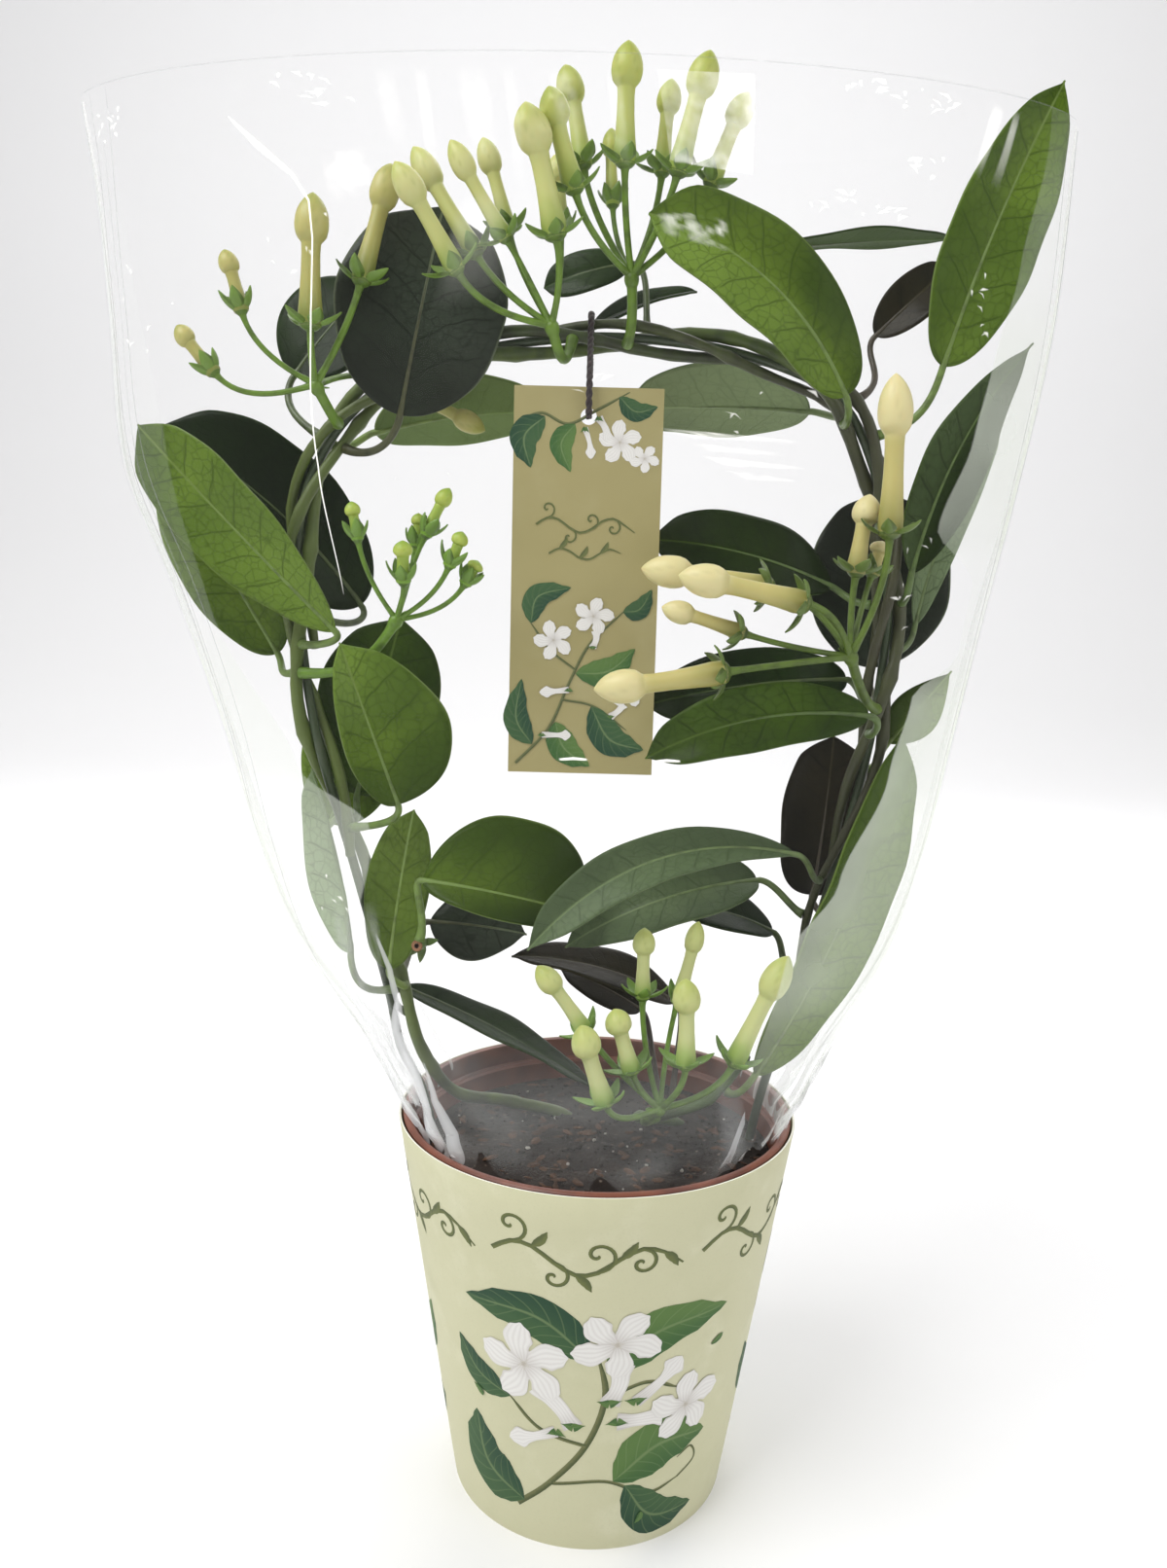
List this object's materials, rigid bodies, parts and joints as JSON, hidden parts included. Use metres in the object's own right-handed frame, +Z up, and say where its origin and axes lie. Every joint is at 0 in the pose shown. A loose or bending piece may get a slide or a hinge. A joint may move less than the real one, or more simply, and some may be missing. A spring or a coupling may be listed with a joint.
{
  "type": "potted flowering vine",
  "caption": "Flowering vine with waxy oval leaves trained round a wire hoop, in a tapered pot with a printed card cover, a flared clear film sleeve and a hang tag.",
  "frame": {"origin": "centre of the pot's underside, on the ground", "axes": "+Z up along the pot's axis; +X to the plant's right as seen from the front; the tag and the front of the plant face -Y"},
  "size_m": [0.2972, 0.1304, 0.4482],
  "materials": {
    "leaf_bright": "waxy leaf, soft gloss",
    "leaf_light": "waxy leaf, soft gloss",
    "leaf_middle": "waxy leaf, soft gloss",
    "leaf_hazy": "waxy leaf, soft gloss",
    "leaf_dark": "waxy leaf, soft gloss",
    "leaf_black": "waxy leaf, soft gloss",
    "leaf_brown": "waxy leaf, soft gloss",
    "flower_cream": "waxy petals",
    "flower_lime": "young waxy buds",
    "vine_bark": "green bark",
    "pot_plastic": "satin moulded plastic",
    "cover_card": "printed card, matte",
    "soil": "loose moist peat",
    "wire": "dark coating",
    "film": "thin clear plastic film",
    "tag_card": "printed card, matte",
    "cord": "twisted cord"
  },
  "bodies": {
    "root": {"card_cover": "cover_card", "clear_sleeve": "film", "cut_side_shoot": "vine_bark", "flowers_left_top": "flower_cream", "flowers_left_young": "flower_lime", "flowers_low": "flower_cream", "flowers_right": "flower_cream", "flowers_top_left": "flower_cream", "flowers_top_middle": "flower_cream", "hang_tag": "tag_card", "hoop_wire": "wire", "leaf_left_crown": "leaf_black", "leaf_left_crown_back": "leaf_dark", "leaf_left_knee": "leaf_hazy", "leaf_left_knee_front": "leaf_light", "leaf_left_shoulder": "leaf_bright", "leaf_left_shoulder_back": "leaf_dark", "leaf_left_shoulder_mid": "leaf_middle", "leaf_left_under_band": "leaf_light", "leaf_left_waist": "leaf_bright", "leaf_left_waist_back": "leaf_middle", "leaf_left_waist_rear": "leaf_middle", "leaf_low_back_small": "leaf_brown", "leaf_low_back_twisted": "leaf_brown", "leaf_low_left_back": "leaf_hazy", "leaf_low_left_narrow": "leaf_dark", "leaf_low_left_round": "leaf_bright", "leaf_low_long": "leaf_hazy", "leaf_low_long_under": "leaf_dark", "leaf_low_right_under": "leaf_dark", "leaf_right_back_brown": "leaf_brown", "leaf_right_back_dark": "leaf_black", "leaf_right_crown_small": "leaf_brown", "leaf_right_inner_back": "leaf_dark", "leaf_right_inner_front": "leaf_middle", "leaf_right_inner_upper": "leaf_middle", "leaf_right_low_long": "leaf_hazy", "leaf_right_shoulder": "leaf_middle", "leaf_right_shoulder_back": "leaf_hazy", "leaf_right_tip": "leaf_bright", "leaf_right_under_band": "leaf_light", "leaf_right_waist_small": "leaf_middle", "leaf_top_arched": "leaf_bright", "leaf_top_flat_back": "leaf_dark", "leaf_top_middle_back": "leaf_middle", "leaf_top_middle_low": "leaf_dark", "nursery_pot": "pot_plastic", "potting_soil": "soil", "tag_loop": "cord", "vine_cross": "vine_bark", "vine_long": "vine_bark", "vine_second": "vine_bark", "vine_third": "vine_bark"}
  },
  "joints": []
}
